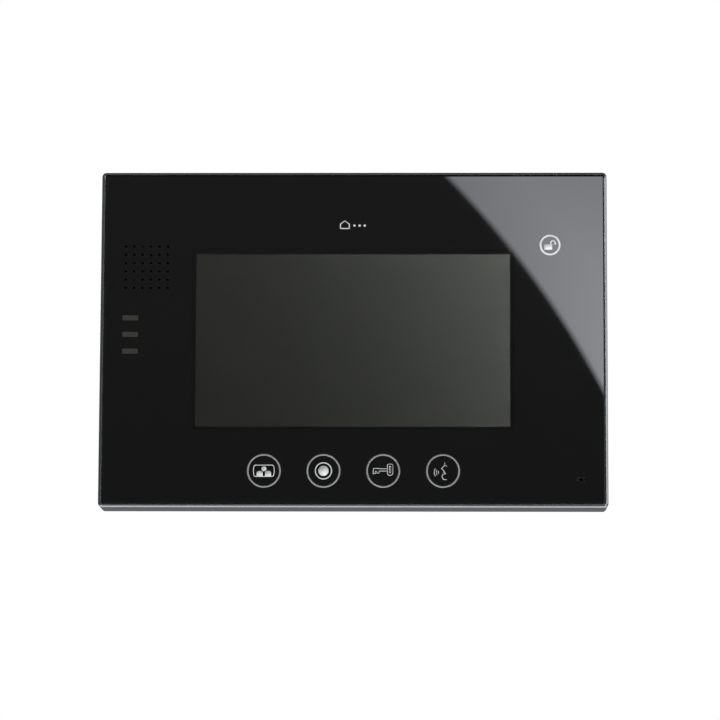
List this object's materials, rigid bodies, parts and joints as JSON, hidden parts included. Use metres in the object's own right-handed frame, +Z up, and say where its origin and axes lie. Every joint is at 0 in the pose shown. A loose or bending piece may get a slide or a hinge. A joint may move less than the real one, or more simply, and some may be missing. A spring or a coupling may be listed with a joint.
{
  "type": "video intercom monitor",
  "caption": "Slim wall-hung indoor video intercom monitor: black glossy front, wide screen, touch keys, speaker holes, silver frame, hung on a steel bracket.",
  "frame": {"origin": "middle of the wall bracket's back face, on the wall plane", "axes": "+X right as seen from the front, +Y into the wall, +Z up; the front faces -Y"},
  "size_m": [0.2489, 0.025, 0.1658],
  "materials": {
    "panel_black": "high gloss acrylic, printed black behind",
    "frame_silver": "satin silver-grey paint on moulded plastic",
    "cover_black": "fine spark-eroded texture",
    "screen_grey": "dark polariser with an anti-glare surface",
    "steel": "plated sheet steel",
    "zinc_plate": "zinc-plated sheet steel",
    "white_plastic": "natural nylon or polycarbonate",
    "smoked_plastic": "smoked translucent lens",
    "board_green": "solder-masked glass-fibre board",
    "chip_black": "moulded epoxy",
    "ferrite": "dark ferrite",
    "aluminium": "drawn can",
    "rubber": "soft moulded rubber",
    "wheel_black": "moulded, fluted rim",
    "foam": "closed-cell foam",
    "mylar": "thin formed film",
    "ribbon_white": "flat flexible cable",
    "lead_red": "insulated wire pair",
    "label_silver": "blank metallised label"
  },
  "bodies": {
    "wall_mount": {"wall_bracket": "zinc_plate"},
    "monitor": {"front_panel": "panel_black", "panel_tape": "foam", "front_frame": "frame_silver", "lcd_bezel": "steel", "lcd_panel": "screen_grey", "lcd_backlight": "white_plastic", "lcd_strap_left": "steel", "lcd_strap_right": "steel", "touch_board": "board_green", "unlock_touch_board": "board_green", "indicator_board": "board_green", "microphone_boot": "rubber", "microphone_capsule": "aluminium", "speaker_gasket": "foam", "speaker_basket": "steel", "speaker_magnet": "ferrite", "main_board": "board_green", "control_board": "board_green", "processor_chip": "chip_black", "video_chip": "chip_black", "memory_chip": "chip_black", "power_inductor": "ferrite", "power_socket": "chip_black", "lcd_cable": "ribbon_white", "touch_cable": "ribbon_white", "speaker_lead": "lead_red", "microphone_lead": "lead_red", "rear_cover": "cover_black", "rating_plate": "label_silver", "cover_screw_1": "steel", "cover_screw_2": "steel", "cover_screw_3": "steel", "cover_screw_4": "steel", "cover_screw_5": "steel", "cover_screw_6": "steel", "board_screw_1": "steel", "board_screw_2": "steel", "board_screw_3": "steel", "board_screw_4": "steel", "strap_screw_1": "steel", "strap_screw_2": "steel", "strap_screw_3": "steel", "strap_screw_4": "steel", "indicator_lens_1": "smoked_plastic", "indicator_lens_2": "smoked_plastic", "indicator_lens_3": "smoked_plastic", "line_socket_1": "white_plastic", "line_socket_2": "white_plastic", "line_socket_3": "white_plastic", "capacitor_1": "aluminium", "capacitor_2": "aluminium", "capacitor_3": "aluminium", "volume_potentiometer": "chip_black", "brightness_potentiometer": "chip_black", "colour_potentiometer": "chip_black"},
    "volume_wheel": {"volume_wheel": "wheel_black"},
    "brightness_wheel": {"brightness_wheel": "wheel_black"},
    "colour_wheel": {"colour_wheel": "wheel_black"},
    "speaker_cone": {"speaker_cone": "mylar"}
  },
  "joints": [
    {"name": "lift_off", "type": "slide", "parent": "wall_mount", "child": "monitor", "axis": [0, 0, 1], "range_m": [0, 0.008]},
    {"name": "volume_turn", "type": "hinge", "parent": "monitor", "child": "volume_wheel", "pos_m": [0.1166, -0.0152, 0.022], "axis": [0, -1, 0], "range_deg": [-135, 135]},
    {"name": "brightness_turn", "type": "hinge", "parent": "monitor", "child": "brightness_wheel", "pos_m": [0.1166, -0.0152, 0], "axis": [0, -1, 0], "range_deg": [-135, 135]},
    {"name": "colour_turn", "type": "hinge", "parent": "monitor", "child": "colour_wheel", "pos_m": [0.1166, -0.0152, -0.022], "axis": [0, -1, 0], "range_deg": [-135, 135]},
    {"name": "cone_travel", "type": "slide", "parent": "monitor", "child": "speaker_cone", "axis": [0, -1, 0], "range_m": [-0.0004, 0.0004], "stiffness_N_per_m": 1500}
  ]
}
